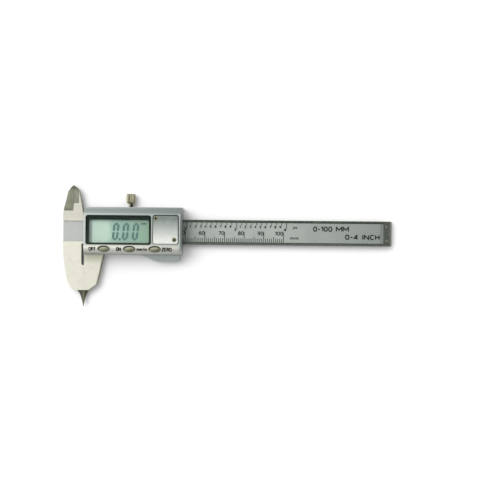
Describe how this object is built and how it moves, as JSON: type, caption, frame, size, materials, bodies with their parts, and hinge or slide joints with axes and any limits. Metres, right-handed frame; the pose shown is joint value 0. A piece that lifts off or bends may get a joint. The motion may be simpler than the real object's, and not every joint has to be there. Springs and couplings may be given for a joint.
{
  "type": "digital caliper",
  "caption": "Digital caliper with a sliding display housing on a scaled beam, pointed outside jaws, crossed inside jaws, a thumb rest, oval buttons, a knurled lock screw and a depth rod.",
  "frame": {"origin": "closed measuring faces of the jaws, on the beam's centreline, at the slider's back resting face", "axes": "+X along the beam in the direction the slider opens, +Y towards the inside jaws and the lock screw, +Z out of the display"},
  "size_m": [0.1675, 0.062, 0.013],
  "materials": {
    "ground_steel": "fine ground stainless steel",
    "satin_housing": "satin grey metal casing",
    "brushed_plate": "brushed stainless plate",
    "scale_print": "matt grey printed scale",
    "board_laminate": "green solder mask",
    "brass_plated": "pale brass plating",
    "button_metal": "satin champagne metal",
    "clear_window": "clear acrylic",
    "display_glass": "reflective display glass",
    "reflector_film": "pale green reflective film",
    "black_plastic": "black moulded plastic",
    "silicone": "grey silicone",
    "screw_steel": "zinc-plated steel",
    "epoxy_black": "black epoxy",
    "nickel_plated": "nickel plate",
    "ceramic_tan": "tan ceramic",
    "foam_black": "closed-cell foam"
  },
  "bodies": {
    "bar": {"beam": "ground_steel", "scale_strip": "board_laminate", "scale_label": "scale_print", "end_stop": "ground_steel", "end_stop_screws": "screw_steel"},
    "slider": {"slider_frame": "ground_steel", "back_plate": "brushed_plate", "back_plate_screws": "screw_steel", "gib_strip": "brass_plated", "gib_screws": "screw_steel", "front_cover": "satin_housing", "cover_screws": "screw_steel", "display_window": "clear_window", "display_bezel": "black_plastic", "lcd_panel": "display_glass", "lcd_reflector": "reflector_film", "lcd_holder": "black_plastic", "zebra_connectors": "silicone", "circuit_board": "board_laminate", "board_screws": "screw_steel", "chip_blob": "epoxy_black", "crystal": "nickel_plated", "capacitors": "ceramic_tan", "keypad": "silicone", "battery_cell": "nickel_plated", "battery_contact_negative": "nickel_plated", "battery_contact_positive": "nickel_plated", "battery_pad": "foam_black", "battery_cover": "brushed_plate", "battery_cover_screws": "screw_steel", "depth_rod": "ground_steel", "depth_rod_rivet": "screw_steel"},
    "lock": {"lock_screw": "brass_plated"},
    "key_power": {"button_power": "button_metal"},
    "key_units": {"button_units": "button_metal"},
    "key_zero": {"button_zero": "button_metal"}
  },
  "joints": [
    {"name": "slider_slide", "type": "slide", "parent": "bar", "child": "slider", "axis": [1, 0, 0], "range_m": [0, 0.1015]},
    {"name": "lock_screw_turn", "type": "hinge", "parent": "slider", "child": "lock", "pos_m": [0.02385, 0.0167, 0.0025], "axis": [0, 1, 0], "range_deg": [0, 360]},
    {"name": "power_press", "type": "slide", "parent": "slider", "child": "key_power", "axis": [0, 0, -1], "range_m": [0, 0.00035]},
    {"name": "units_press", "type": "slide", "parent": "slider", "child": "key_units", "axis": [0, 0, -1], "range_m": [0, 0.00035]},
    {"name": "zero_press", "type": "slide", "parent": "slider", "child": "key_zero", "axis": [0, 0, -1], "range_m": [0, 0.00035]}
  ]
}
